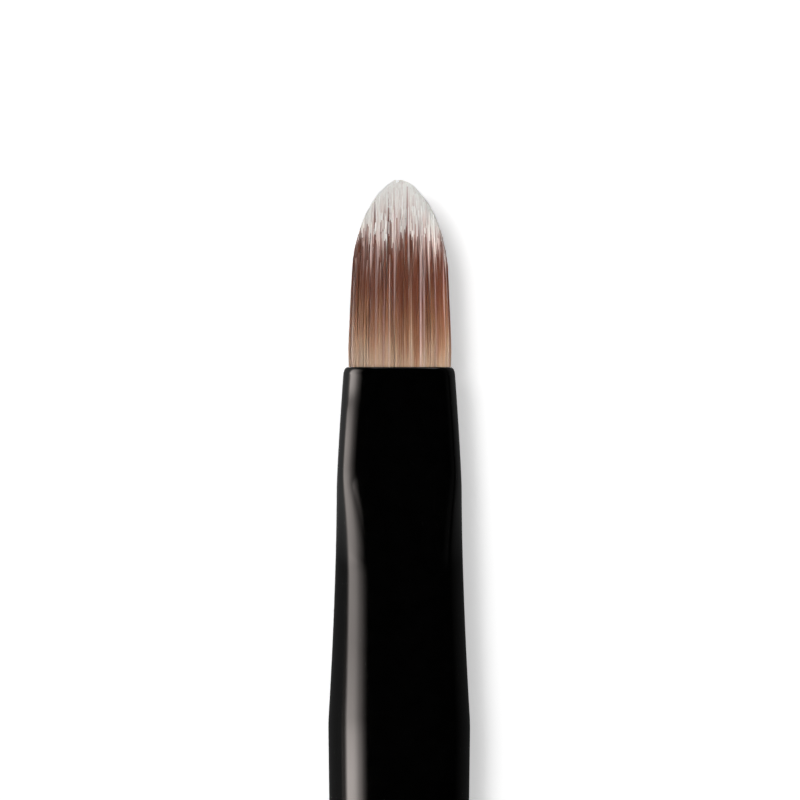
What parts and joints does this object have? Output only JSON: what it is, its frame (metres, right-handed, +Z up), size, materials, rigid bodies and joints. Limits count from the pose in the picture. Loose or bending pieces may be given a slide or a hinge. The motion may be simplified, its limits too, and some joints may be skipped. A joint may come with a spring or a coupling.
{
  "type": "concealer brush",
  "caption": "Small makeup brush: an oval domed tuft of fibres in a pressed black metal ferrule, on a long turned handle that tapers to a flat tail.",
  "frame": {"origin": "below the middle of the brush's length, on the surface that it lies on", "axes": "+Y along the brush from its tail to the tip of its tuft, +X across the wide way of the tuft, +Z up"},
  "size_m": [0.0094, 0.165, 0.0094],
  "materials": {
    "fibre": "synthetic fibre, tan at the root, brown in the middle and off-white at the tip",
    "root_resin": "cast resin, amber",
    "ferrule_lacquer": "gloss black lacquer",
    "handle_lacquer": "gloss black lacquer"
  },
  "bodies": {
    "root": {"bristle_tuft": "fibre", "root_plug": "root_resin", "ferrule": "ferrule_lacquer", "handle": "handle_lacquer"}
  },
  "joints": []
}
